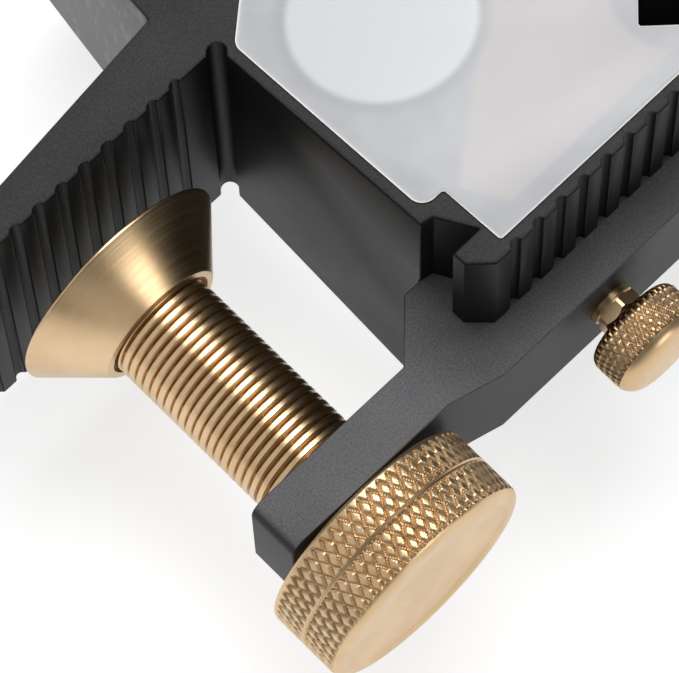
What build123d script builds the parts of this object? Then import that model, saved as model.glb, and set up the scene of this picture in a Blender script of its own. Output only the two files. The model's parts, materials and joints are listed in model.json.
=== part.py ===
"""Dovetail jig: a magnetic saw guide with a board channel, a sliding clamp bar and brass screws.

Millimetres. The origin is on the fence's ribbed face, where the clamp screw's axis meets it.
+X runs along the clamp screw towards its knob, +Y along the fence towards the board stop,
and +Z up, along the ribs. The guide is the same above and below the plane Z = 0.
"""
import math
import os

from build123d import *

# Guide body
SLOPE = 1 / 6                # rise of each saw face along +X: a 1:6 dovetail
HALF_HEIGHT = 19.15          # half the body's height at the fence's ribbed face
STOP_Y = 19.35               # board stop, measured from the clamp screw's axis
STOP_END = 27.85             # X where the board stop's wall meets the corner pocket
BODY_RIGHT = 36.0            # outer ribbed face
BODY_LEFT = -30.0
BODY_FAR = STOP_Y + 48.0
CORNER_CUT = 4.0             # cut across the two far corners
EDGE = 0.35                  # chamfer round both saw faces
FENCE_END = -17.0
FENCE_ROOT_X = -7.2          # fence's back at its root, and at its tip
FENCE_TIP_X = -3.3
SHOULDER_Y = STOP_Y - 2.4    # shoulder behind the fence
SHOULDER_RISE = (FENCE_TIP_X - FENCE_ROOT_X) / (SHOULDER_Y - FENCE_END)  # square to the fence's back
RELIEF_RADIUS = 1.0          # corner relief between the fence and the board stop
RELIEF_INSET = 0.3
POCKET_X = 32.2              # corner pocket's outer wall, beside the finger
POCKET_DEPTH = 3.6
POCKET_CORNER = (STOP_END + 0.3, STOP_Y + 1.4)
FINGER_CUT = 2.1             # cut across the finger's outer corner
WINDOW = (28.2, STOP_Y + 34.2)
WINDOW_HALF = 5.3            # half diagonal of the square sight window

# Ribs
RIB_PITCH = 3.0
RIB_GROOVE = 0.6             # radius of the round grooves between ribs
FENCE_RIBS = (STOP_Y - 5.5, 11)      # first groove, and how many towards the fence's tip
OUTER_RIBS = (STOP_Y + 4.8, 13)      # first groove, and how many away from the channel
RIB_INSET = 0.05                     # the grooves' centres stand this far inside the face

# Clamp bar and the slot that it slides in
BAR_HALF = 7.9
BAR_BACK = 27.8
BAR_FRONT = 40.4
ARM_BACK = 33.0
ARM_FRONT = 38.8
ARM_END = -8.45
BAR_FAR = BODY_FAR - 4.0
GUSSET = ARM_BACK - BAR_BACK
GUSSET_Y = STOP_Y - 2.1
BAR_SHOULDER = (12.45, 18.5)  # where the arm's outer face starts and ends widening
ARM_ROUND = 1.9
GAP = 0.05                   # sliding clearance of the bar in its slot
TALL = 40.0                  # more than half the guide's height, for cuts right through

# T-shaped key on the back of the bar
KEY_NECK = 2.9               # half heights of the neck and the head
KEY_HEAD = 4.9
KEY_NECK_X = 24.2
KEY_BACK = 21.2
KEY_START = STOP_Y + 27.5
KEY_TRAVEL = 10.3            # room for the key in front of it
KEY_CLEAR = 0.08
KEY_SCREW = 1.5
KEY_SCREW_END = BAR_BACK + 6
KEY_SCREW_HEAD = 2.75
KEY_SCREW_SEAT = KEY_BACK + 2.2      # under the heads, which are sunk in the key
KEY_SCREW_Y = (STOP_Y + 31.5, STOP_Y + 40.0)
SLOT_WIDTH = 0.7                     # screwdriver slots

# Clamp screw, knob and pad
THREAD_RADIUS = 5.95
ARM_BORE = 6.0
PAD_RIM = 12.5
PAD_FACE = 5.0
PAD_RIM_EDGE = 0.4
PAD_SMALL = 7.2              # the pad's small end, with a counterbore round the thread
PAD_END = 11.3
PAD_COUNTERBORE = 6.35
PAD_FLOOR = 10.4             # X of the counterbore's floor
PAD_RECESS = 5.2             # recess in the pad's face, for the retaining screw
NOSE_RADIUS = 3.0            # plain nose of the clamp screw, which the pad swivels on
NOSE_END = 7.5
THREAD_START = 10.5
PAD_SCREW = 1.22
PAD_SCREW_END = 11.5
WASHER = (4.7, 0.6)          # radius and thickness
PAD_SCREW_HEAD = (2.7, 1.3)
SCREW_END = 45.0
KNOB_BACK = 39.7
KNOB_FRONT = 48.8
KNOB_RADIUS = 12.45
KNOB_GROOVE = 0.55

# Bar lock: bush, stud, knob and shoe
LOCK_Y = STOP_Y + 13.7
STUD_RADIUS = 1.45
BUSH_FLATS = 4.7             # the bush's collar, across its flats
BUSH_CORNER = 2.62           # radius that its corners are turned to
BUSH_RADIUS = 2.4
BUSH_BACK = 33.0
BUSH_FRONT = BAR_FRONT + 2.2
FLANGE = (2.45, 0.6)         # the bush's flange: radius and thickness
FLANGE_GROOVE = (2.1, 0.3)   # groove between the flange and the collar
SHOE_RADIUS = 2.1
SHOE_FRONT = 29.35           # the stud's shoulder presses here
STUD_TIP = (1.0, 28.6)       # radius of the stud's tip, and where it ends inside the shoe
LOCK_KNOB_BACK = 43.1
LOCK_KNOB_FRONT = 48.7
LOCK_KNOB_RADIUS = 5.5
LOCK_KNOB_BORE = 3.0

# Magnets, keepers and films
MAGNET_RADIUS = 9.5
MAGNET_THICK = 5.0
KEEPER_THICK = 1.5
MAGNET_X = 9.05
MAGNET_Y = (STOP_Y + 13.0, STOP_Y + 35.0)
FILM = 0.4
FILM_LEFT = STOP_Y + 1.25
FILM_RIGHT = 34.6
FILM_END = -6.5
FILM_FAR = BODY_FAR - 1.4
FILM_STEP = (26.95, STOP_Y + 4.0)
FILM_START = 1.2             # X where the near edge turns off over the fence
FILM_TURN = STOP_Y + 10.2    # Y where it meets the film's end
FILM_ROUND = 1.6
SKIN = 0.02                  # the magnets sit this far below the saw face


def half_height(x, extra=0.0):
    """Half the height between the saw faces at x."""
    return HALF_HEIGHT + extra + SLOPE * x


def prism(points, low, high):
    """Solid on a closed outline in XY, from z = low to z = high."""
    face = make_face(Polyline(*points, close=True))
    return Pos(0, 0, low) * extrude(face, amount=high - low, dir=(0, 0, 1))


def wedge(extra=0.0):
    """Everything between the two saw faces, each moved out by extra."""
    x0, x1 = BODY_LEFT - 10, BODY_RIGHT + 20
    profile = [
        (x0, -half_height(x0, extra)),
        (x1, -half_height(x1, extra)),
        (x1, half_height(x1, extra)),
        (x0, half_height(x0, extra)),
    ]
    face = make_face(Plane.XZ * Polyline(*profile, close=True))
    return Pos(0, -60, 0) * extrude(face, amount=200, dir=(0, 1, 0))


def rod(radius, x0, x1, y=0.0, z=0.0):
    """Cylinder along X."""
    turned = Rotation(0, 90, 0) * Cylinder(radius, x1 - x0)
    return Pos((x0 + x1) / 2, y, z) * turned


def block(x0, x1, y0, y1, half):
    """Box that is the same above and below Z = 0."""
    return Pos((x0 + x1) / 2, (y0 + y1) / 2, 0) * Box(x1 - x0, y1 - y0, 2 * half)


def turned(points, y=0.0):
    """Solid of revolution about an axis along X; points are (x, radius)."""
    face = make_face(Polyline(*points, close=True))
    return Pos(0, y, 0) * revolve(face, Axis.X, 360)


def on_saw_face(shape, x, y, side):
    """Puts a shape made on Z = 0, growing down, on the upper (1) or lower (-1) saw face."""
    tilt = math.degrees(math.atan(SLOPE))
    placed = Pos(x, y, half_height(x)) * Rotation(0, -tilt, 0) * shape
    return placed if side > 0 else mirror(placed, Plane.XY)


def disc(radius, top, thick):
    """Disc whose upper face is at z = top."""
    return Pos(0, 0, top - thick / 2) * Cylinder(radius, thick)


def sight_window(grow=0.0):
    x, y = WINDOW
    half = WINDOW_HALF + grow
    return prism([(x - half, y), (x, y - half), (x + half, y), (x, y + half)], -TALL, TALL)


def guide_body():
    outline = [
        (0, FENCE_END),
        (0, STOP_Y),
        (STOP_END, STOP_Y),
        POCKET_CORNER,
        (POCKET_X, STOP_Y + POCKET_DEPTH),
        (POCKET_X, STOP_Y),
        (BODY_RIGHT - FINGER_CUT, STOP_Y),
        (BODY_RIGHT, STOP_Y + FINGER_CUT),
        (BODY_RIGHT, BODY_FAR - CORNER_CUT),
        (BODY_RIGHT - CORNER_CUT, BODY_FAR),
        (BODY_LEFT + CORNER_CUT, BODY_FAR),
        (BODY_LEFT, BODY_FAR - CORNER_CUT),
        (BODY_LEFT, SHOULDER_Y + SHOULDER_RISE * (FENCE_ROOT_X - BODY_LEFT)),
        (FENCE_ROOT_X, SHOULDER_Y),
        (FENCE_TIP_X, FENCE_END),
    ]
    body = prism(outline, -TALL, TALL) & wedge()
    rims = body.edges().filter_by(lambda e: abs(e.center().Z) > 5 and not is_upright(e))
    body = chamfer(rims, EDGE)

    body -= Pos(RELIEF_INSET, STOP_Y - RELIEF_INSET, 0) * Cylinder(RELIEF_RADIUS, 2 * TALL)
    for x, (start, count), step in ((RIB_INSET, FENCE_RIBS, -RIB_PITCH),
                                    (BODY_RIGHT - RIB_INSET, OUTER_RIBS, RIB_PITCH)):
        for i in range(count):
            body -= Pos(x, start + i * step, 0) * Cylinder(RIB_GROOVE, 2 * TALL)

    body -= sight_window()
    body -= block(BAR_BACK - GAP, BODY_RIGHT + 5, STOP_Y - 5, BODY_FAR + 5, BAR_HALF + GAP)
    groove_start = KEY_START - KEY_TRAVEL
    body -= block(KEY_NECK_X - KEY_CLEAR, BAR_BACK, groove_start, BODY_FAR + 5, KEY_NECK + KEY_CLEAR)
    body -= block(KEY_BACK - KEY_CLEAR, KEY_NECK_X + KEY_CLEAR, groove_start, BODY_FAR + 5,
                  KEY_HEAD + KEY_CLEAR)
    pocket = disc(MAGNET_RADIUS + 0.05, 0, MAGNET_THICK + KEEPER_THICK + 0.1)
    for side in (1, -1):
        for y in MAGNET_Y:
            body -= on_saw_face(pocket, MAGNET_X, y, side)
    return body


def is_upright(edge):
    direction = edge % 0.5
    return abs(direction.Z) > 0.9


def clamp_bar():
    outline = [
        (BAR_BACK, BAR_FAR),
        (BAR_BACK, GUSSET_Y),
        (ARM_BACK, GUSSET_Y - GUSSET),
        (ARM_BACK, ARM_END),
        (ARM_FRONT, ARM_END),
        (ARM_FRONT, BAR_SHOULDER[0]),
        (BAR_FRONT, BAR_SHOULDER[1]),
        (BAR_FRONT, BAR_FAR),
    ]
    bar = prism(outline, -BAR_HALF, BAR_HALF)
    end_edges = bar.edges().filter_by(Axis.X).group_by(Axis.Y)[0]
    bar = fillet(end_edges, ARM_ROUND)
    bar -= rod(ARM_BORE, ARM_BACK - 1, ARM_FRONT + 1)
    bar -= rod(BUSH_RADIUS, BUSH_BACK - 1, BAR_FRONT + 1, LOCK_Y)
    bar -= rod(STUD_RADIUS + 0.15, BAR_BACK - 1, BUSH_BACK, LOCK_Y)
    bar -= rod(SHOE_RADIUS + 0.08, BAR_BACK - 1, SHOE_FRONT + 1.65, LOCK_Y)
    for y in KEY_SCREW_Y:
        bar -= rod(KEY_SCREW, BAR_BACK - 1, KEY_SCREW_END + 0.2, y)
    return bar


def bar_key():
    length = (KEY_START, BAR_FAR - 0.4)
    key = block(KEY_NECK_X, BAR_BACK, *length, KEY_NECK)
    key += block(KEY_BACK, KEY_NECK_X, *length, KEY_HEAD)
    for y in KEY_SCREW_Y:
        key -= rod(KEY_SCREW, KEY_BACK - 1, BAR_BACK + 1, y)
        key -= rod(KEY_SCREW_HEAD + 0.05, KEY_BACK - 1, KEY_SCREW_SEAT, y)
    return key


def key_screws():
    screws = []
    for y in KEY_SCREW_Y:
        top = KEY_BACK + 0.4
        head = rod(KEY_SCREW_HEAD, top, KEY_SCREW_SEAT, y)
        head -= Pos(top, y, 0) * Box(2, 3.6, SLOT_WIDTH)
        screws.append(head + rod(KEY_SCREW, KEY_SCREW_SEAT, KEY_SCREW_END, y))
    return Compound(screws)


def lock_bush():
    """Flanged brass bush, threaded for the stud, with a hexagon collar outside the bar."""
    flange_front = BAR_FRONT + FLANGE[1]
    collar_back = flange_front + FLANGE_GROOVE[1]
    hexagon = RegularPolygon(BUSH_FLATS / 2, 6, major_radius=False)
    bar_stock = Rotation(0, 90, 0) * extrude(hexagon, BUSH_FRONT - collar_back)
    collar = Pos(collar_back, LOCK_Y, 0) * bar_stock
    collar &= turned([
        (BAR_FRONT, 0),
        (BAR_FRONT, BUSH_CORNER),
        (BUSH_FRONT - 0.3, BUSH_CORNER),
        (BUSH_FRONT, BUSH_CORNER - 0.3),
        (BUSH_FRONT, 0),
    ], LOCK_Y)
    bush = rod(BUSH_RADIUS, BUSH_BACK, BAR_FRONT, LOCK_Y)
    bush += rod(FLANGE[0], BAR_FRONT, flange_front, LOCK_Y)
    bush += rod(FLANGE_GROOVE[0], flange_front, collar_back, LOCK_Y)
    bush += collar
    return bush - rod(STUD_RADIUS + 0.05, BUSH_BACK - 1, BUSH_FRONT + 1, LOCK_Y)


def lock_stud():
    radius, end = STUD_TIP
    shoulder = SHOE_FRONT + 0.05
    stud = rod(STUD_RADIUS, shoulder, LOCK_KNOB_BACK + LOCK_KNOB_BORE, LOCK_Y)
    return stud + rod(radius, end, shoulder, LOCK_Y)


def lock_shoe():
    radius, end = STUD_TIP
    shoe = rod(SHOE_RADIUS, BAR_BACK - 0.02, SHOE_FRONT, LOCK_Y)
    return shoe - rod(radius + 0.05, end - 0.1, SHOE_FRONT + 1, LOCK_Y)


def lock_knob():
    """Small knurled knob with a narrow neck at the back and a domed front."""
    back, front, rim = LOCK_KNOB_BACK, LOCK_KNOB_FRONT, LOCK_KNOB_RADIUS
    knob = turned([
        (back, 0),
        (back, rim - 1.1),
        (back + 0.4, rim - 0.3),
        (back + 0.9, rim),
        (front - 1.5, rim),
        (front - 0.9, rim - 0.45),
        (front - 0.4, rim - 1.3),
        (front - 0.1, rim - 2.7),
        (front, rim - 4.2),
        (front, 0),
    ], LOCK_Y)
    return knob - rod(STUD_RADIUS, back - 1, back + LOCK_KNOB_BORE, LOCK_Y)


def clamp_screw():
    screw = turned([
        (NOSE_END, PAD_SCREW + 0.03),
        (NOSE_END, NOSE_RADIUS),
        (THREAD_START, NOSE_RADIUS),
        (THREAD_START, THREAD_RADIUS - 0.4),
        (THREAD_START + 0.4, THREAD_RADIUS),
        (SCREW_END, THREAD_RADIUS),
        (SCREW_END, 0),
        (PAD_SCREW_END + 0.9, 0),
        (PAD_SCREW_END + 0.4, PAD_SCREW + 0.03),
    ])
    return screw


def clamp_knob():
    """Round knob with two bands for the knurl, a groove between them and a dished face."""
    back, front, rim = KNOB_BACK, KNOB_FRONT, KNOB_RADIUS
    middle = (back + front) / 2 - 0.2
    knob = turned([
        (back, THREAD_RADIUS),
        (back, rim - 0.9),
        (back + 0.7, rim),
        (middle - KNOB_GROOVE, rim),
        (middle, rim - KNOB_GROOVE),
        (middle + KNOB_GROOVE, rim),
        (front - 0.9, rim),
        (front - 0.25, rim - 0.35),
        (front, rim - 0.95),
        (front, rim - 2.0),
        (front - 0.7, rim - 3.4),
        (front - 0.9, rim - 6.0),
        (front - 0.9, 0),
        (SCREW_END, 0),
        (SCREW_END, THREAD_RADIUS),
    ])
    return knob


def clamp_pad():
    pad = turned([
        (PAD_FACE, PAD_RECESS),
        (PAD_FACE, PAD_RIM),
        (PAD_FACE + PAD_RIM_EDGE, PAD_RIM),
        (PAD_END - 0.3, PAD_SMALL + 0.1),
        (PAD_END, PAD_SMALL - 0.15),
        (PAD_END, PAD_COUNTERBORE),
        (PAD_FLOOR, PAD_COUNTERBORE),
        (PAD_FLOOR, NOSE_RADIUS + 0.05),
        (NOSE_END + 0.1, NOSE_RADIUS + 0.05),
        (NOSE_END + 0.1, PAD_RECESS),
    ])
    return pad


def pad_washer():
    radius, thick = WASHER
    washer = rod(radius, NOSE_END - thick, NOSE_END)
    return washer - rod(PAD_SCREW + 0.2, NOSE_END - 2 * thick, NOSE_END + 1)


def pad_screw():
    radius, tall = PAD_SCREW_HEAD
    seat = NOSE_END - WASHER[1]
    head = rod(radius, seat - tall, seat)
    head -= Pos(seat - tall, 0, 0) * Box(tall, 3 * radius, SLOT_WIDTH)
    return head + rod(PAD_SCREW, seat, PAD_SCREW_END)


def film_outline():
    """Sheet on the saw face: a stepped corner at the pocket and a swept end over the fence."""
    corner = (FILM_STEP[0], FILM_LEFT)
    points = [
        (FILM_START, FILM_LEFT),
        corner,
        FILM_STEP,
        (FILM_RIGHT, FILM_STEP[1]),
        (FILM_RIGHT, FILM_FAR - CORNER_CUT),
        (FILM_RIGHT - CORNER_CUT, FILM_FAR),
        (FILM_END, FILM_FAR),
        (FILM_END, FILM_TURN),
    ]
    face = make_face(Polyline(*points, close=True))
    rounds = face.vertices().filter_by(
        lambda v: abs(v.Y - FILM_LEFT) < 0.01 or abs(v.X - FILM_END) < 0.01)
    return fillet(rounds, FILM_ROUND)


def film(side):
    sheet = Pos(0, 0, -TALL) * extrude(film_outline(), amount=2 * TALL, dir=(0, 0, 1))
    sheet = (sheet & wedge(FILM)) - wedge()
    sheet -= sight_window(0.1)
    half = Pos(0, 30, side * 30) * Box(120, 120, 60)
    return sheet & half


def export_all():
    os.makedirs("parts", exist_ok=True)
    pieces = {
        "guide_body": guide_body(),
        "clamp_bar": clamp_bar(),
        "bar_key": bar_key(),
        "key_screws": key_screws(),
        "lock_bush": lock_bush(),
        "lock_stud": lock_stud(),
        "lock_shoe": lock_shoe(),
        "lock_knob": lock_knob(),
        "clamp_screw": clamp_screw(),
        "clamp_knob": clamp_knob(),
        "clamp_pad": clamp_pad(),
        "pad_washer": pad_washer(),
        "pad_screw": pad_screw(),
    }
    for side, level in ((1, "upper"), (-1, "lower")):
        pieces[f"{level}_film"] = film(side)
        for y, place in zip(MAGNET_Y, ("near", "far")):
            magnet = disc(MAGNET_RADIUS, -SKIN, MAGNET_THICK)
            keeper = disc(MAGNET_RADIUS, -SKIN - MAGNET_THICK, KEEPER_THICK)
            pieces[f"{level}_{place}_magnet"] = on_saw_face(magnet, MAGNET_X, y, side)
            pieces[f"{level}_{place}_keeper"] = on_saw_face(keeper, MAGNET_X, y, side)
    for name, piece in pieces.items():
        export_step(piece, f"parts/{name}.step")
        print(name, "volume", round(piece.volume, 1))


export_all()
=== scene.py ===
"""Dovetail jig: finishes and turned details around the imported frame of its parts."""

import json
import math

import bmesh
import bpy
from mathutils import Euler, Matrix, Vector

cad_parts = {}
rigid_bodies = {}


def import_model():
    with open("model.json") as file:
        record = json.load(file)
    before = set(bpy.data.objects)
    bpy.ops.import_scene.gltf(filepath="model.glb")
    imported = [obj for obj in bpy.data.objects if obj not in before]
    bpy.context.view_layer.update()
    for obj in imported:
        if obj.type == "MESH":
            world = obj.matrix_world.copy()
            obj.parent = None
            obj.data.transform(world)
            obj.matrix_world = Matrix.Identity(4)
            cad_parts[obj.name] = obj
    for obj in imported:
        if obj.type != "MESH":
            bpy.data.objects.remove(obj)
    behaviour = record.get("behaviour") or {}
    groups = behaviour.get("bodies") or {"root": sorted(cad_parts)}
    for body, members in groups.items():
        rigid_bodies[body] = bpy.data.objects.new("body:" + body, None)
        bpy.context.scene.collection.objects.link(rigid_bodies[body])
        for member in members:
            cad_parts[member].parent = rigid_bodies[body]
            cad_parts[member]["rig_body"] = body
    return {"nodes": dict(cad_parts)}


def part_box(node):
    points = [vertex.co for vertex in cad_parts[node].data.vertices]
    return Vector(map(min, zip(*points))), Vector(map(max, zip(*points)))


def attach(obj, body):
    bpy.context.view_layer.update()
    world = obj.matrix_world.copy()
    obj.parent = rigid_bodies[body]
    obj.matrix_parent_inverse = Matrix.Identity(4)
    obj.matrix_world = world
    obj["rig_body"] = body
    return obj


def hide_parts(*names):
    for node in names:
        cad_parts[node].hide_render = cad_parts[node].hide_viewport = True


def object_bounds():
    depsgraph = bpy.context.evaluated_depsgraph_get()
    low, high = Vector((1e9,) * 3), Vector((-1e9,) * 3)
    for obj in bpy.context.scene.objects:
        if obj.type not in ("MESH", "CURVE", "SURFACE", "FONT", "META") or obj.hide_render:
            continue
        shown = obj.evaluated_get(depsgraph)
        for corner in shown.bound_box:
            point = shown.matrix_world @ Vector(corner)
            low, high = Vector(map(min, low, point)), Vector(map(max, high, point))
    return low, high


bl_info = {
    "name": "Dovetail Jig",
    "version": (1, 0, 0),
    "blender": (4, 5, 0),
    "location": "3D View > Sidebar > Jig",
    "description": "Builds the finished pieces of a magnetic dovetail jig round its frame",
    "category": "Object",
}

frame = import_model()
CAD_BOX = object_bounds()
MM = 0.001

FULL_TURN = 2 * math.pi
MIX_A, MIX_B, MIX_RESULT = 6, 7, 2      # the Mix node's colour sockets
COUNTERBORE_DEPTH = 0.9 * MM            # in the pad's back, where the screw's thread ends
NOSE_RADIUS = 3.0 * MM                  # of the screw's plain nose, which turns in the pad
WINDOW = (28.2 * MM, 53.55 * MM)        # centre of the window through the body
SHOULDER_X = -7.3 * MM                  # the body's wall behind this has a painted reflection, pale grey
THREAD_RUN_OUT = 0.15 * MM
KNURL_RUN_OUT = 0.06 * MM
GROOVE_RUN_OUT = 0.12 * MM
NO_GROOVE = {"Split": -1.0, "Split Half": 0.0}


# ---------------------------------------------------------------- node maths

class Value:
    """A node socket that can be used in Python sums; each operator adds a Math node."""

    def __init__(self, graph, socket):
        self.graph, self.socket = graph, socket

    def _op(self, name, *others):
        return self.graph.math(name, self, *others)

    def __add__(self, b): return self._op("ADD", b)
    def __sub__(self, b): return self._op("SUBTRACT", b)
    def __mul__(self, b): return self._op("MULTIPLY", b)
    def __truediv__(self, b): return self._op("DIVIDE", b)
    def __radd__(self, a): return self.graph.math("ADD", a, self)
    def __rsub__(self, a): return self.graph.math("SUBTRACT", a, self)
    def __rmul__(self, a): return self.graph.math("MULTIPLY", a, self)
    def __neg__(self): return self * -1
    def __abs__(self): return self._op("ABSOLUTE")
    def frac(self): return self._op("FRACT")
    def sqrt(self): return self._op("SQRT")
    def least(self, b): return self._op("MINIMUM", b)
    def most(self, b): return self._op("MAXIMUM", b)


class Graph:
    """Adds nodes to a shader or geometry tree."""

    def __init__(self, tree):
        self.tree = tree

    def put(self, socket, given):
        """Links an input to a Value or a socket, or sets its own value."""
        if isinstance(given, Value):
            given = given.socket
        if isinstance(given, bpy.types.NodeSocket):
            self.tree.links.new(given, socket)
        else:
            socket.default_value = given

    def node(self, kind, settings=None, inputs=None, out=0):
        """Adds a node and gives its output out, or the node itself where out is None."""
        made = self.tree.nodes.new(kind)
        for name, setting in (settings or {}).items():
            setattr(made, name, setting)
        for key, given in (inputs or {}).items():
            self.put(made.inputs[key], given)
        return made if out is None else Value(self, made.outputs[out])

    def math(self, operation, *operands):
        return self.node("ShaderNodeMath", {"operation": operation}, dict(enumerate(operands)))

    def smooth(self, value, low, high):
        """0 below low, 1 above high, and an even curve between."""
        return self.node("ShaderNodeMapRange", {"interpolation_type": "SMOOTHSTEP"},
                         {"Value": value, "From Min": low, "From Max": high})

    def past(self, value, edge, soft):
        """0 before the edge and 1 past it, fading over soft on each side."""
        return self.smooth(value, edge - soft, edge + soft)

    def band(self, value, low, high, soft):
        """1 between low and high, fading over soft on each side."""
        return self.past(value, low, soft) * (1 - self.past(value, high, soft))

    def distance(self, a, b):
        return (a * a + b * b).sqrt()

    def split(self, vector):
        made = self.node("ShaderNodeSeparateXYZ", None, {"Vector": vector}, out=None)
        return [Value(self, socket) for socket in made.outputs]

    def mix(self, factor, a, b):
        """The colour between a and b, which are colours or sockets."""
        return self.node("ShaderNodeMix", {"data_type": "RGBA"},
                         {"Factor": factor, MIX_A: a, MIX_B: b}, out=MIX_RESULT)

    def noise(self, vector, scale, detail=2.0, roughness=0.5):
        return self.node("ShaderNodeTexNoise", None, {
            "Vector": vector, "Scale": scale, "Detail": detail, "Roughness": roughness})


# ---------------------------------------------------------------- materials

class Finish(Graph):
    """A material with one Principled surface, and places in the object's own metres."""

    def __init__(self, name, **constants):
        self.material = bpy.data.materials.new(name)
        self.material.use_nodes = True
        super().__init__(self.material.node_tree)
        self.tree.nodes.clear()
        self.surface = self.node("ShaderNodeBsdfPrincipled", out=None)
        self.node("ShaderNodeOutputMaterial", None, {"Surface": self.surface.outputs[0]}, out=None)
        self.place = self.node("ShaderNodeTexCoord", out="Object")
        self.set(**constants)

    def facing(self):
        """How far a face looks along X, Y and Z: 1 straight along, 0 across, -1 straight back."""
        return self.split(self.node("ShaderNodeNewGeometry", out="Normal"))

    def set(self, **given):
        """Fills the surface's sockets; an underscore in a key stands for a space."""
        for key, value in given.items():
            self.put(self.surface.inputs[key.replace("_", " ")], value)

    def bump(self, height, distance, strength):
        self.set(Normal=self.node("ShaderNodeBump", None, {
            "Height": height, "Distance": distance, "Strength": strength}))


def colour(r, g, b):
    """A colour given as it looks on screen, 0 to 255."""
    def linear(c):
        c /= 255
        return c / 12.92 if c <= 0.04045 else ((c + 0.055) / 1.055) ** 2.4
    return (linear(r), linear(g), linear(b), 1.0)


def grey(tone, blue=0.0):
    """A grey from 0 to 255, with its blue raised a little."""
    return colour(tone, tone, tone + blue)


def anodised(name, top, wall, grain, shoulder_x=None):
    """Black anodised aluminium: grey blasted grain on level faces, and smoother walls. The walls
    are painted darker and the level faces lighter: painted shade and painted light on one
    anodising.

    Behind shoulder_x, the wall that looks along -Y is painted pale with grey streaks: a painted
    reflection of the light from the left.
    """
    f = Finish(name, Metallic=0.0, IOR=1.2)
    grains = f.noise(f.place, scale=5200.0, detail=3.0, roughness=0.6)
    clouds = f.noise(f.place, scale=90.0, detail=3.0, roughness=0.5)
    _, along_y, along_z = f.facing()
    level = f.smooth(abs(along_z), low=0.55, high=0.9)

    def shade(tone, factor):
        return grey(tone * factor, tone * 0.02)

    # Painted light and shade: level faces take the top tone and walls the darker wall tone.
    dark = f.mix(level, shade(wall, 0.85), shade(top, 0.85))
    light = f.mix(level, shade(wall, 1.12), shade(top, 1.15))
    tint = f.mix(f.smooth(grains * 0.7 + clouds * 0.3, low=0.32, high=0.68), dark, light)
    if shoulder_x is not None:
        x, _, _ = f.split(f.place)
        stretched = f.node("ShaderNodeMapping", None,
                           {"Vector": f.place, "Scale": (1.0, 1.0, 0.3)})
        streaks = f.noise(stretched, scale=900.0, detail=3.0, roughness=0.6)
        # Painted reflection: pale grey streaks where the wall behind the shoulder looks along -Y.
        painted_reflection = f.mix(f.smooth(streaks, low=0.5, high=0.8), grey(104, 2), grey(136, 2))
        behind = 1 - f.smooth(x, shoulder_x - 0.4 * MM, shoulder_x)
        tint = f.mix(f.smooth(-along_y, low=0.6, high=0.9) * behind, tint, painted_reflection)
    f.set(Base_Color=tint)
    f.set(Roughness=0.47 + level * 0.12 + (clouds - 0.5) * 0.12 + (grains - 0.5) * 0.1)
    f.bump(grains, distance=grain * MM, strength=0.6)
    return f.material


def brass(name, axis, grooves=None, roughness=0.27, groove_shade_tone=colour(160, 120, 74)):
    """Turned brass with fine tool rings about the piece's axis, which lies along X.

    grooves is (bottom radius, top radius, from x, to x), where painted shade darkens the cuts.
    """
    f = Finish(name, Metallic=1.0)
    x, y, z = f.split(f.place)
    across = f.distance(y - axis.y, z - axis.z)
    lines = f.node("ShaderNodeTexNoise", {"noise_dimensions": "2D"}, {
        "Vector": f.node("ShaderNodeCombineXYZ", None, {"X": x, "Y": across}),
        "Scale": 2600.0, "Detail": 2.0})
    stain = f.noise(f.place, scale=140.0, detail=4.0, roughness=0.55)
    tint = f.mix(f.smooth(stain, low=0.35, high=0.7), colour(205, 175, 135),
                 colour(218, 190, 152))
    if grooves:
        bottom, top, start, end = grooves
        # Painted shade: the cuts are tinted darker brown, as shade falls in them.
        groove_shade = (1 - f.smooth(across, bottom, top)) * f.band(x, start, end, soft=0.1 * MM)
        tint = f.mix(groove_shade, tint, groove_shade_tone)
    f.set(Base_Color=tint, Roughness=roughness + stain * 0.1 + (lines - 0.5) * 0.12)
    f.bump(lines, distance=0.012 * MM, strength=0.5)
    return f.material


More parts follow.
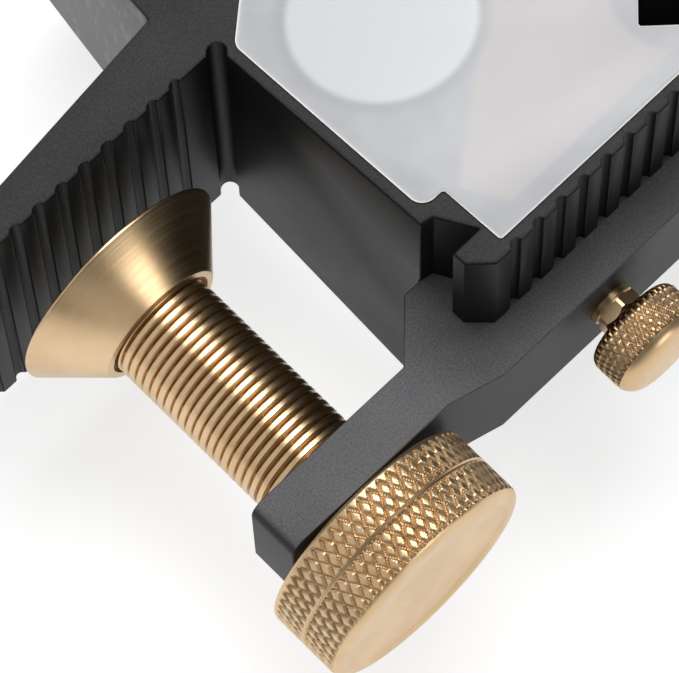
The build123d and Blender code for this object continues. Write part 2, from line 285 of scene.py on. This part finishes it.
def film_sheet():
    """Pale slippery sheet; the glue under it shows through a little. Over each magnet it swells,
    with painted light and painted shade on the swell.
    """
    f = Finish("film_sheet", IOR=1.45)
    x, y, _ = f.split(f.place)
    clouds = f.noise(f.place, scale=160.0, detail=3.0)
    shade = f.mix(f.smooth(clouds, low=0.3, high=0.7), colour(198, 199, 203),
                  colour(208, 209, 212))

    # The glue's patch has three straight edges, and keeps clear of the window.
    window_x, window_y = WINDOW
    from_window = f.distance(x - window_x, y - window_y)
    glue = (f.past(x * 0.793 + y * 0.609, edge=36.9 * MM, soft=0.5 * MM)
            * f.past(y - x * 0.506, edge=10.3 * MM, soft=0.4 * MM)
            * (1 - f.past(x, edge=32.5 * MM, soft=0.3 * MM))
            * f.past(from_window, edge=6.5 * MM, soft=0.5 * MM))
    shade = f.mix(glue * 0.75, shade, colour(216, 212, 211))

    # Over each magnet the sheet has a slight swell, shown as a pale disc of painted light in a
    # darker ring of painted shade.
    swells = []
    for magnet in ("upper_near_magnet", "upper_far_magnet"):
        lo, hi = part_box(magnet)
        centre, radius = centre_of(magnet), (hi.y - lo.y) / 2
        away = f.distance(x - centre.x, y - centre.y)
        ring = f.band(away, radius * 0.98, radius * 1.1, soft=0.6 * MM)
        disc = 1 - f.smooth(away, radius * 0.93, radius * 1.03)
        shade = f.mix(ring * 0.5, shade, colour(188, 190, 194))
        shade = f.mix(disc, shade, colour(231, 235, 237))
        swells.append(1 - f.smooth(away, radius * 0.85, radius * 1.15))

    specks = f.node("ShaderNodeTexVoronoi", None, {"Vector": f.place, "Scale": 120.0})
    shade = f.mix(1 - f.smooth(specks, low=0.02, high=0.05), shade, grey(150, 5))
    # Painted highlight: faces that do not look up, the sheet's cut edges, are painted near white.
    level = f.smooth(abs(f.facing()[2]), low=0.75, high=0.95)
    f.set(Base_Color=f.mix(level, colour(255, 255, 250), shade))
    f.set(Roughness=0.42 + (f.noise(f.place, scale=800.0) - 0.5) * 0.12)
    f.bump(sum(swells) + f.noise(f.place, scale=1500.0) * 0.08, distance=0.12 * MM, strength=0.5)
    return f.material


def plain_metal(name, tone, roughness):
    f = Finish(name, Metallic=1.0)
    grain = f.noise(f.place, scale=900.0)
    f.set(Base_Color=f.mix(grain, grey(tone, 4), grey(tone + 25, 3)))
    f.set(Roughness=roughness + (grain - 0.5) * 0.15)
    return f.material


def nylon():
    f = Finish("nylon", Roughness=0.5)
    clouds = f.noise(f.place, scale=700.0)
    f.set(Base_Color=f.mix(clouds, colour(214, 210, 198), colour(228, 225, 215)))
    return f.material


def white_paper():
    f = Finish("white_paper", Roughness=0.9, Emission_Color=(1, 1, 1, 1), Emission_Strength=0.72)
    f.set(Base_Color=f.mix(f.noise(f.place, scale=30.0), grey(186), grey(190)))
    return f.material


# ---------------------------------------------------------------- meshes

def centre_of(node):
    lo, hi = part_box(node)
    return (lo + hi) / 2


def as_piece(bm, name):
    """Makes a finished bmesh an object of the scene, and frees it."""
    mesh = bpy.data.meshes.new(name)
    bm.to_mesh(mesh)
    bm.free()
    piece = bpy.data.objects.new(name, mesh)
    bpy.context.scene.collection.objects.link(piece)
    return piece


def lathe(name, profile, axis, segments):
    """A closed turned shape about an axis along X; profile is (x, radius) from back to front.

    A profile that starts and ends on the axis makes a solid, and one that ends where it
    starts makes a ring.
    """
    bm = bmesh.new()
    rings = []
    for x, r in profile:
        if r == 0:
            rings.append([bm.verts.new((x, axis.y, axis.z))])
            continue
        turns = [FULL_TURN * i / segments for i in range(segments)]
        rings.append([bm.verts.new((x, axis.y + r * math.cos(t), axis.z + r * math.sin(t)))
                      for t in turns])
    for back, front in zip(rings[:-1], rings[1:]):
        for i in range(segments):
            j = (i + 1) % segments
            corners = [back[i % len(back)], back[j % len(back)],
                       front[j % len(front)], front[i % len(front)]]
            bm.faces.new(list(dict.fromkeys(corners)))
    bmesh.ops.remove_doubles(bm, verts=bm.verts, dist=1e-7)
    bmesh.ops.recalc_face_normals(bm, faces=bm.faces)
    return as_piece(bm, name)


def rows(x0, x1, r, step):
    """Profile points at an even step along a straight band."""
    count = max(1, round((x1 - x0) / step))
    return [(x0 + (x1 - x0) * i / count, r) for i in range(count + 1)]


def arc(cx, cr, radius, start, end, count):
    """Profile points round a corner; angles in degrees, 0 along +X and 90 outwards."""
    turns = [math.radians(start + (end - start) * i / count) for i in range(count + 1)]
    return [(cx + radius * math.cos(t), cr + radius * math.sin(t)) for t in turns]


def axis_tree(name, inputs, offset):
    """Geometry nodes that move each point towards the axis by offset(graph, x, turn, inputs)."""
    tree = bpy.data.node_groups.new(name, "GeometryNodeTree")

    def socket(key, kind, in_out="INPUT"):
        tree.interface.new_socket(key, in_out=in_out, socket_type="NodeSocket" + kind)

    socket("Geometry", "Geometry")
    for key in ("Axis Y", "Axis Z", *inputs):
        socket(key, "Float")
    socket("Material", "Material")
    socket("Geometry", "Geometry", "OUTPUT")

    g = Graph(tree)
    start = g.node("NodeGroupInput", out=None)
    given = {s.name: Value(g, s) for s in start.outputs if s.name}
    x, y, z = g.split(g.node("GeometryNodeInputPosition"))
    y, z = y - given["Axis Y"], z - given["Axis Z"]
    turn = g.math("ARCTAN2", z, y)
    radius = g.distance(y, z)
    moved = radius - offset(g, x, turn, given)
    scale = moved / radius.most(1e-9) - 1
    step = g.node("ShaderNodeCombineXYZ", None, {"Y": y * scale, "Z": z * scale})
    shaped = g.node("GeometryNodeSetPosition", None,
                    {"Geometry": given["Geometry"], "Offset": step})
    joined = g.node("GeometryNodeRealizeInstances", None, {"Geometry": shaped})
    painted = g.node("GeometryNodeSetMaterial", None,
                     {"Geometry": joined, "Material": given["Material"]})
    g.node("NodeGroupOutput", None, {"Geometry": painted}, out=None)
    return tree


def thread_cut(g, x, turn, given):
    """Depth of a right-hand thread: round crests, one to each pitch."""
    phase = ((x - given["From"]) / given["Pitch"] - turn / FULL_TURN).frac()
    hollow = g.smooth(1 - abs(phase * 2 - 1), low=0.5, high=1.0)
    return given["Depth"] * hollow * g.band(x, given["From"], given["To"], THREAD_RUN_OUT)


def knurl_cut(g, x, turn, given):
    """Depth of a diamond knurl: two sets of crossing grooves with flat tops between.

    The plain groove round Split, Split Half wide to each side, is left without knurl.
    """
    def land(sign):
        around = turn * given["Count"] / FULL_TURN
        along = sign * (x - given["From"]) / given["Length"]
        return 1 - abs((around + along).frac() * 2 - 1)

    top = (land(1).least(land(-1)) * given["Flatness"]).least(1.0)
    half = given["Split Half"]
    outside_groove = g.smooth(abs(x - given["Split"]), half, half + GROOVE_RUN_OUT)
    inside = g.band(x, given["From"], given["To"], KNURL_RUN_OUT)
    return given["Depth"] * (1 - top) * inside * outside_groove


def shaped_by(piece, tree, axis, values, material):
    """Runs a geometry tree on a piece and keeps the result as its plain mesh."""
    modifier = piece.modifiers.new("shape", "NODES")
    modifier.node_group = tree
    sockets = {s.name: s.identifier for s in tree.interface.items_tree if s.in_out == "INPUT"}
    given = {"Axis Y": axis.y, "Axis Z": axis.z, **values, "Material": material}
    for key, value in given.items():
        modifier[sockets[key]] = value
    bpy.context.view_layer.update()
    graph = bpy.context.evaluated_depsgraph_get()
    mesh = bpy.data.meshes.new_from_object(piece.evaluated_get(graph), depsgraph=graph)
    piece.modifiers.clear()
    piece.data = mesh


def knurled(name, profile, axis, segments, values, material):
    """A turned piece with a diamond knurl rolled on it."""
    piece = lathe(name, profile, axis, segments)
    shaped_by(piece, axis_tree(name + "_knurl", list(values), knurl_cut), axis, values, material)
    shade_round(piece, 24)
    return piece


def softened(node, width):
    """A copy of a CAD part with its sharp edges broken by a small chamfer."""
    low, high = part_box(node)
    bm = bmesh.new()
    bm.from_mesh(frame["nodes"][node].data)
    bmesh.ops.remove_doubles(bm, verts=bm.verts, dist=0.01 * MM)
    bmesh.ops.dissolve_limit(bm, angle_limit=math.radians(0.3), verts=bm.verts, edges=bm.edges)
    sharp = [e for e in bm.edges if e.calc_face_angle(0) > math.radians(30)]
    bmesh.ops.bevel(bm, geom=sharp, offset=width, offset_type="OFFSET", segments=1,
                    affect="EDGES", profile=0.5, clamp_overlap=False)
    for vert in bm.verts:
        vert.co = [min(max(c, a), b) for c, a, b in zip(vert.co, low, high)]
    bmesh.ops.triangulate(bm, faces=bm.faces)
    piece = as_piece(bm, node + "_softened")
    shade_round(piece, 20)
    return piece


def shade_round(piece, angle):
    """Smooth shading, with an edge kept sharp where it turns more than angle degrees."""
    piece.data.shade_smooth()
    piece.data.set_sharp_from_angle(angle=math.radians(angle))


def dress(piece, material):
    piece.data.materials.clear()
    piece.data.materials.append(material)


def seat(piece, node):
    """The piece rides on the node's body and stands for the node, which is hidden."""
    body = frame["nodes"][node]["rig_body"]
    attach(piece, body)
    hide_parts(node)


def paint_nodes(nodes, material):
    for node in nodes:
        dress(frame["nodes"][node], material)


# ---------------------------------------------------------------- settings

class JigTurning(bpy.types.PropertyGroup):
    """Sizes of the thread, the knurl and the broken edges."""
    pitch: bpy.props.FloatProperty(
        name="Thread pitch", default=1.0 * MM, subtype="DISTANCE",
        description="Travel of the clamp screw in one turn")
    thread_depth: bpy.props.FloatProperty(
        name="Thread depth", default=0.34 * MM, subtype="DISTANCE",
        description="Depth of the clamp screw's thread")
    knurl_count: bpy.props.IntProperty(
        name="Knurl count", default=60, min=12,
        description="Diamonds round the clamp knob")
    knurl_length: bpy.props.FloatProperty(
        name="Knurl length", default=2.3 * MM, subtype="DISTANCE",
        description="Length of one diamond of the clamp knob along the axis")
    knurl_depth: bpy.props.FloatProperty(
        name="Knurl depth", default=0.27 * MM, subtype="DISTANCE",
        description="Depth of the grooves of the clamp knob's knurl")
    edge_break: bpy.props.FloatProperty(
        name="Edge break", default=0.12 * MM, subtype="DISTANCE",
        description="Chamfer on the sharp edges of the body and the bar")


class JigFinish(bpy.types.PropertyGroup):
    """Tones of the anodised pieces; level faces are painted lighter and walls darker, as painted
    light and painted shade.
    """
    body_tone: bpy.props.FloatProperty(
        name="Body tone", default=64.0, min=0, max=255,
        description="Grey of the body's level faces, from 0 to 255")
    # Painted shade: the body's walls are painted darker than its level faces.
    body_wall_shade_tone: bpy.props.FloatProperty(
        name="Body wall tone", default=17.0, min=0, max=255,
        description="Grey of the body's walls, from 0 to 255")
    bar_tone: bpy.props.FloatProperty(
        name="Bar tone", default=103.0, min=0, max=255,
        description="Grey of the clamp bar's level faces, from 0 to 255")
    # Painted shade: the bar's walls are painted darker than its level faces.
    bar_wall_shade_tone: bpy.props.FloatProperty(
        name="Bar wall tone", default=50.0, min=0, max=255,
        description="Grey of the clamp bar's walls, from 0 to 255")


# ---------------------------------------------------------------- pieces

class JIG_OT_body(bpy.types.Operator):
    """Finishes the guide body and the clamp bar"""
    bl_idname = "jig.body"
    bl_label = "Body and bar"

    def execute(self, context):
        tones = context.scene.jig_finish
        width = context.scene.jig_turning.edge_break
        body = softened("guide_body", width)
        dress(body, anodised("anodised_body", tones.body_tone, tones.body_wall_shade_tone,
                             grain=0.05, shoulder_x=SHOULDER_X))
        seat(body, "guide_body")
        bar = softened("clamp_bar", width)
        dress(bar, anodised("anodised_bar", tones.bar_tone, tones.bar_wall_shade_tone, grain=0.02))
        seat(bar, "clamp_bar")
        return {"FINISHED"}


class JIG_OT_films(bpy.types.Operator):
    """Finishes the two sheets on the saw faces"""
    bl_idname = "jig.films"
    bl_label = "Films"

    def execute(self, context):
        material = film_sheet()
        for node in ("upper_film", "lower_film"):
            film = softened(node, width=0.24 * MM)
            dress(film, material)
            seat(film, node)
        return {"FINISHED"}


class JIG_OT_clamp_screw(bpy.types.Operator):
    """Turns the clamp screw with its thread"""
    bl_idname = "jig.clamp_screw"
    bl_label = "Clamp screw"

    def execute(self, context):
        sizes = context.scene.jig_turning
        lo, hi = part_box("clamp_screw")
        axis = centre_of("clamp_screw")
        radius = (hi.z - lo.z) / 2
        chamfer, end_chamfer = 0.1 * MM, 0.3 * MM
        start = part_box("clamp_pad")[1].x - COUNTERBORE_DEPTH + 0.1 * MM
        profile = [(lo.x, 0), (lo.x, NOSE_RADIUS - chamfer), (lo.x + chamfer, NOSE_RADIUS),
                   (start, NOSE_RADIUS), (start, radius - 0.35 * MM)]
        profile += rows(start + end_chamfer, hi.x - end_chamfer, radius, sizes.pitch / 14)
        profile += [(hi.x, radius - end_chamfer), (hi.x, 0)]
        screw = lathe("clamp_screw_thread", profile, axis, segments=112)
        values = {"From": start + 0.2 * MM, "To": hi.x - 0.2 * MM,
                  "Pitch": sizes.pitch, "Depth": sizes.thread_depth}
        # The thread's cuts get painted shade.
        grooves = (radius - sizes.thread_depth, radius - 0.1 * MM, start, hi.x)
        shaped_by(screw, axis_tree("thread", list(values), thread_cut), axis, values,
                  brass("brass_thread", axis, grooves))
        shade_round(screw, 50)
        seat(screw, "clamp_screw")
        return {"FINISHED"}


class JIG_OT_clamp_knob(bpy.types.Operator):
    """Turns the big knob and rolls its two knurled bands"""
    bl_idname = "jig.clamp_knob"
    bl_label = "Clamp knob"

    def execute(self, context):
        sizes = context.scene.jig_turning
        lo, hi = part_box("clamp_knob")
        axis = centre_of("clamp_knob")
        back, front, rim = lo.x, hi.x, (hi.z - lo.z) / 2
        middle, vee = (back + front) / 2 - 0.2 * MM, 0.2 * MM
        back_round, ring_step = 0.45 * MM, 0.11 * MM
        edge_length, edge_drop = 0.9 * MM, 1.5 * MM
        dish_radius, dish_lip, dish_depth, dish_rings = rim - 2.2 * MM, 0.24 * MM, 0.45 * MM, 24

        profile = [(back, 0), (back, rim - 1.0 * MM), (back + 0.15 * MM, rim - 0.6 * MM)]
        profile += arc(back + 0.6 * MM, rim - back_round, back_round, 180, 90, count=5)
        profile += rows(back + 0.75 * MM, middle - vee, rim, ring_step)
        profile += [(middle, rim - vee * 0.6)]
        profile += rows(middle + vee, front - 0.95 * MM, rim, ring_step)
        profile += [(front - edge_length * (1 - math.sin(t)), rim - edge_drop * (1 - math.cos(t)))
                    for t in [math.radians(9 * i) for i in range(1, 11)]]
        profile += [(front - 0.03 * MM, rim - 1.85 * MM), (front - 0.12 * MM, rim - 2.0 * MM)]
        for i in range(dish_rings, -1, -1):
            out = i / dish_rings
            profile.append((front - dish_lip - dish_depth * (1 - out ** 2), dish_radius * out))

        values = {"From": back + 0.75 * MM, "To": front - 0.75 * MM,
                  "Count": float(sizes.knurl_count), "Length": sizes.knurl_length,
                  "Depth": sizes.knurl_depth, "Flatness": 2.3,
                  "Split": middle, "Split Half": vee}
        # The knurl's cuts get painted shade.
        grooves = (rim - sizes.knurl_depth, rim - 0.12 * MM, back + 0.7 * MM, front - 0.8 * MM)
        material = brass("brass_knob", axis, grooves, roughness=0.34)
        knob = knurled("clamp_knob_knurled", profile, axis, sizes.knurl_count * 10,
                       values, material)
        seat(knob, "clamp_knob")
        return {"FINISHED"}


class JIG_OT_lock_knob(bpy.types.Operator):
    """Turns the small domed knob with its knurl, and finishes its bush"""
    bl_idname = "jig.lock_knob"
    bl_label = "Lock knob"

    def execute(self, context):
        lo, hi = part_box("lock_knob")
        axis = centre_of("lock_knob")
        back, front, rim = lo.x, hi.x, (hi.z - lo.z) / 2
        back_round, front_round = 1.1 * MM, 1.8 * MM
        knurl_end = front - 1.6 * MM

        profile = [(back, 0), (back, rim - 1.2 * MM)]
        profile += arc(back + back_round, rim - back_round, back_round, 180, 95, count=9)
        profile += rows(back + 1.15 * MM, front - 1.9 * MM, rim, step=0.1 * MM)
        profile += arc(front - 1.9 * MM, rim - front_round, front_round, 82, 16, count=10)
        profile += [(front - 0.05 * MM, rim - 2.6 * MM), (front, rim - 4.0 * MM), (front, 0)]

        values = {"From": back + 0.3 * MM, "To": knurl_end, "Count": 40.0, "Length": 1.6 * MM,
                  "Depth": 0.24 * MM, "Flatness": 1.7, **NO_GROOVE}
        grooves = (rim - 0.3 * MM, rim - 0.1 * MM, back - 0.2 * MM, knurl_end)
        # This knurl's cuts get a darker painted shade.
        material = brass("brass_lock", axis, grooves, roughness=0.34,
                         groove_shade_tone=colour(118, 80, 50))
        knob = knurled("lock_knob_knurled", profile, axis, 320, values, material)
        seat(knob, "lock_knob")
        paint_nodes(["lock_bush"], brass("brass_bush", axis))
        return {"FINISHED"}


class JIG_OT_clamp_pad(bpy.types.Operator):
    """Turns the conical pad"""
    bl_idname = "jig.clamp_pad"
    bl_label = "Clamp pad"

    def execute(self, context):
        lo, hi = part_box("clamp_pad")
        axis = centre_of("clamp_pad")
        rim, small_end = (hi.z - lo.z) / 2, 7.2 * MM
        bore, recess, nose = 6.35 * MM, 5.2 * MM, NOSE_RADIUS + 0.05 * MM
        bore_floor = hi.x - COUNTERBORE_DEPTH
        recess_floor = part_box("clamp_screw")[0].x + 0.1 * MM
        rim_width, rim_round, end_round, lip = 0.4 * MM, 0.14 * MM, 0.22 * MM, 0.08 * MM

        profile = [(recess_floor, nose), (recess_floor, recess), (lo.x, recess)]
        profile += arc(lo.x + rim_round, rim - rim_round, rim_round, 180, 90, count=3)
        profile += arc(lo.x + rim_width - rim_round, rim - rim_round, rim_round, 90, 47, count=2)
        profile += arc(hi.x - 0.3 * MM, small_end - 0.2 * MM, end_round, 47, 0, count=4)
        profile += [(hi.x, bore + lip), (hi.x - lip, bore), (bore_floor, bore),
                    (bore_floor, nose), (recess_floor, nose)]
        pad = lathe("clamp_pad_turned", profile, axis, segments=192)
        dress(pad, brass("brass_pad", axis))
        shade_round(pad, 20)
        seat(pad, "clamp_pad")
        return {"FINISHED"}


class JIG_OT_inner(bpy.types.Operator):
    """Finishes the magnets, keepers, key and small screws"""
    bl_idname = "jig.inner"
    bl_label = "Inner pieces"

    def execute(self, context):
        magnets = [n for n in frame["nodes"] if n.endswith("magnet")]
        keepers = [n for n in frame["nodes"] if n.endswith("keeper")]
        small = ["bar_key", "key_screws", "lock_stud", "pad_washer", "pad_screw"]
        paint_nodes(magnets, plain_metal("nickel", tone=190, roughness=0.2))
        paint_nodes(keepers, plain_metal("keeper_steel", tone=140, roughness=0.4))
        paint_nodes(small, plain_metal("zinc_steel", tone=160, roughness=0.35))
        paint_nodes(["lock_shoe"], nylon())
        return {"FINISHED"}


# ---------------------------------------------------------------- stage

CAMERA_PLACE = (0.14859, -0.09886, 0.48337)
CAMERA_TURN = (18.957, 0.892, 45.738)       # degrees about X, Y and Z
CAMERA_LENS = 276.2
FLOOR_GAP = 0.2 * MM
FLOOR_SIZE = 4
WORLD_STRENGTH = 0.1
LIGHTS = (                                  # name, place, size, power in watts
    ("top_box", (-0.12, 0.19, 0.62), (0.45, 0.4), 3.1),
    ("left_box", (-0.12, -0.42, 0.32), (0.6, 0.68), 0.95),
    ("right_strip", (0.59, 0.15, 0.19), (0.25, 0.18), 0.66),
    ("front_fill", (0.55, -0.22, 0.14), (0.35, 0.25), 0.16),
)


def area_light(name, place, size, power, aim):
    data = bpy.data.lights.new(name, "AREA")
    data.shape = "RECTANGLE"
    data.size, data.size_y = size
    data.energy = power
    light = bpy.data.objects.new(name, data)
    light.location = place
    light.rotation_euler = (aim - Vector(place)).to_track_quat("-Z", "Y").to_euler()
    bpy.context.scene.collection.objects.link(light)


class JIG_OT_stage(bpy.types.Operator):
    """Sets the camera, the lights and the floor"""
    bl_idname = "jig.stage"
    bl_label = "Stage"

    def execute(self, context):
        scene = context.scene
        camera = bpy.data.objects.new("camera", bpy.data.cameras.new("camera"))
        camera.location = CAMERA_PLACE
        camera.rotation_euler = Euler([math.radians(angle) for angle in CAMERA_TURN])
        camera.data.lens = CAMERA_LENS
        camera.data.clip_start, camera.data.clip_end = 0.01, 10
        scene.collection.objects.link(camera)
        scene.camera = camera

        lo, hi = CAD_BOX
        bpy.ops.mesh.primitive_grid_add(x_subdivisions=2, y_subdivisions=2, size=FLOOR_SIZE,
                                        location=(0, 0, lo.z - FLOOR_GAP))
        floor = context.object
        floor.name = "floor"
        dress(floor, white_paper())

        for light in LIGHTS:
            area_light(*light, aim=(lo + hi) / 2)

        world = bpy.data.worlds.new("world")
        scene.world = world
        world.use_nodes = True
        background = world.node_tree.nodes["Background"]
        background.inputs["Color"].default_value = (1, 1, 1, 1)
        background.inputs["Strength"].default_value = WORLD_STRENGTH
        scene.view_settings.view_transform = "Standard"
        return {"FINISHED"}


class JIG_PT_panel(bpy.types.Panel):
    """Lists the jig's settings and pieces"""
    bl_idname = "JIG_PT_panel"
    bl_label = "Dovetail jig"
    bl_space_type = "VIEW_3D"
    bl_region_type = "UI"
    bl_category = "Jig"

    def draw(self, context):
        for group in (context.scene.jig_turning, context.scene.jig_finish):
            for name in group.bl_rna.properties.keys():
                if name not in ("rna_type", "name"):
                    self.layout.prop(group, name)
        for operator in OPERATORS:
            self.layout.operator(operator.bl_idname)


GROUPS = (JigTurning, JigFinish)
OPERATORS = (JIG_OT_body, JIG_OT_films, JIG_OT_clamp_screw, JIG_OT_clamp_knob, JIG_OT_clamp_pad,
             JIG_OT_lock_knob, JIG_OT_inner, JIG_OT_stage)


def register():
    for cls in GROUPS + OPERATORS + (JIG_PT_panel,):
        bpy.utils.register_class(cls)
    bpy.types.Scene.jig_turning = bpy.props.PointerProperty(type=JigTurning)
    bpy.types.Scene.jig_finish = bpy.props.PointerProperty(type=JigFinish)


def unregister():
    del bpy.types.Scene.jig_turning
    del bpy.types.Scene.jig_finish
    for cls in reversed(GROUPS + OPERATORS + (JIG_PT_panel,)):
        bpy.utils.unregister_class(cls)


def main():
    register()
    for operator in OPERATORS:
        group, name = operator.bl_idname.split(".")
        getattr(getattr(bpy.ops, group), name)()


if __name__ == "__main__":
    main()
